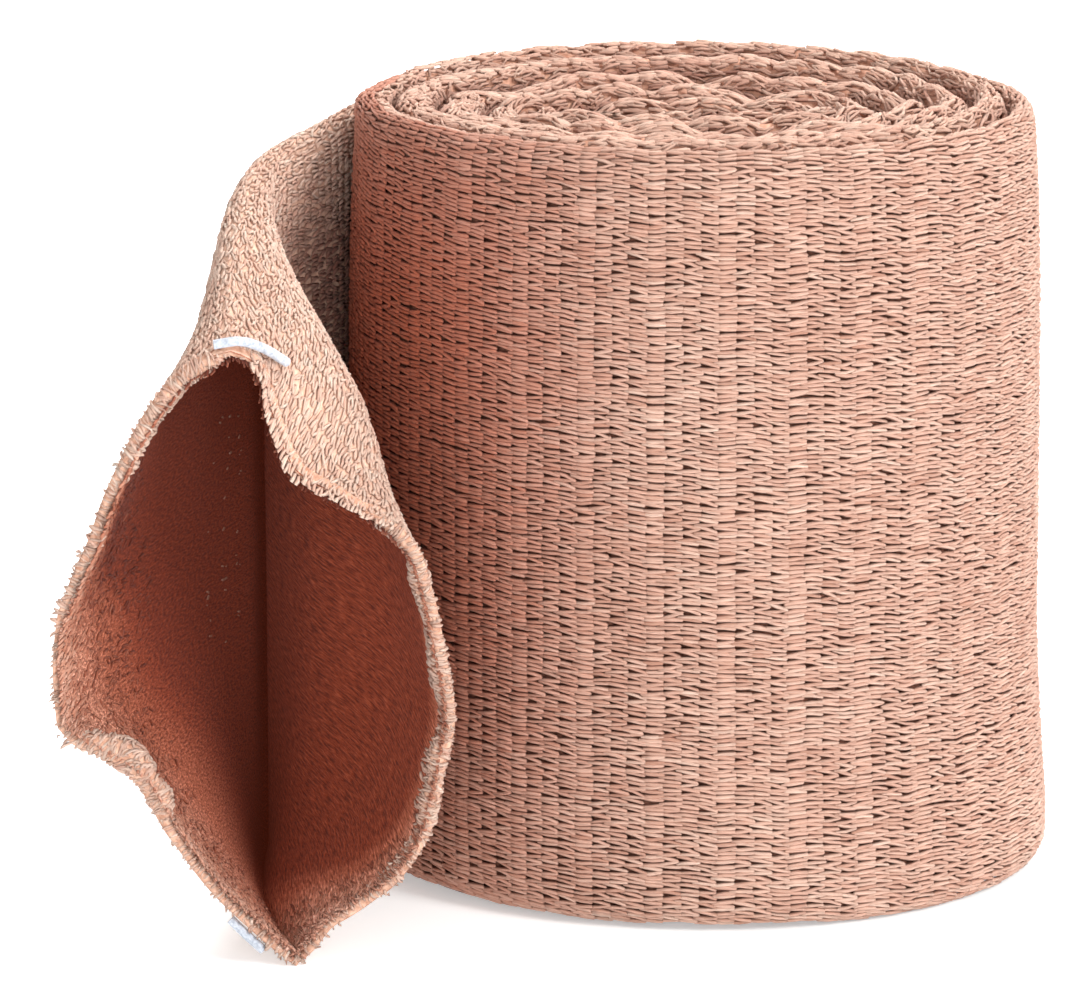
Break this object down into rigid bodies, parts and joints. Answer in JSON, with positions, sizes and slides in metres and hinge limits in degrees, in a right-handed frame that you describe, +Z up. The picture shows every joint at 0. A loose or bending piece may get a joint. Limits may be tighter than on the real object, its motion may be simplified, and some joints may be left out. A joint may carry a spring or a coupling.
{
  "type": "tubular bandage roll",
  "caption": "Knitted elastic tube, wound flat into a roll that stands on its edge, with its loose end drawn out beside it and its cut mouth standing open.",
  "frame": {"origin": "where the axis of the roll meets the surface that it stands on", "axes": "+Z up along the roll's axis, +X away from the loose end, -Y the way its mouth opens"},
  "size_m": [0.1106, 0.0954, 0.0872],
  "materials": {
    "knitted_cotton": "matt coarse knit, salmon",
    "elastic_thread": "smooth white thread"
  },
  "bodies": {
    "root": {"roll": "knitted_cotton", "loose_end": "knitted_cotton", "elastic_end_top": "elastic_thread", "elastic_end_bottom": "elastic_thread"}
  },
  "joints": []
}
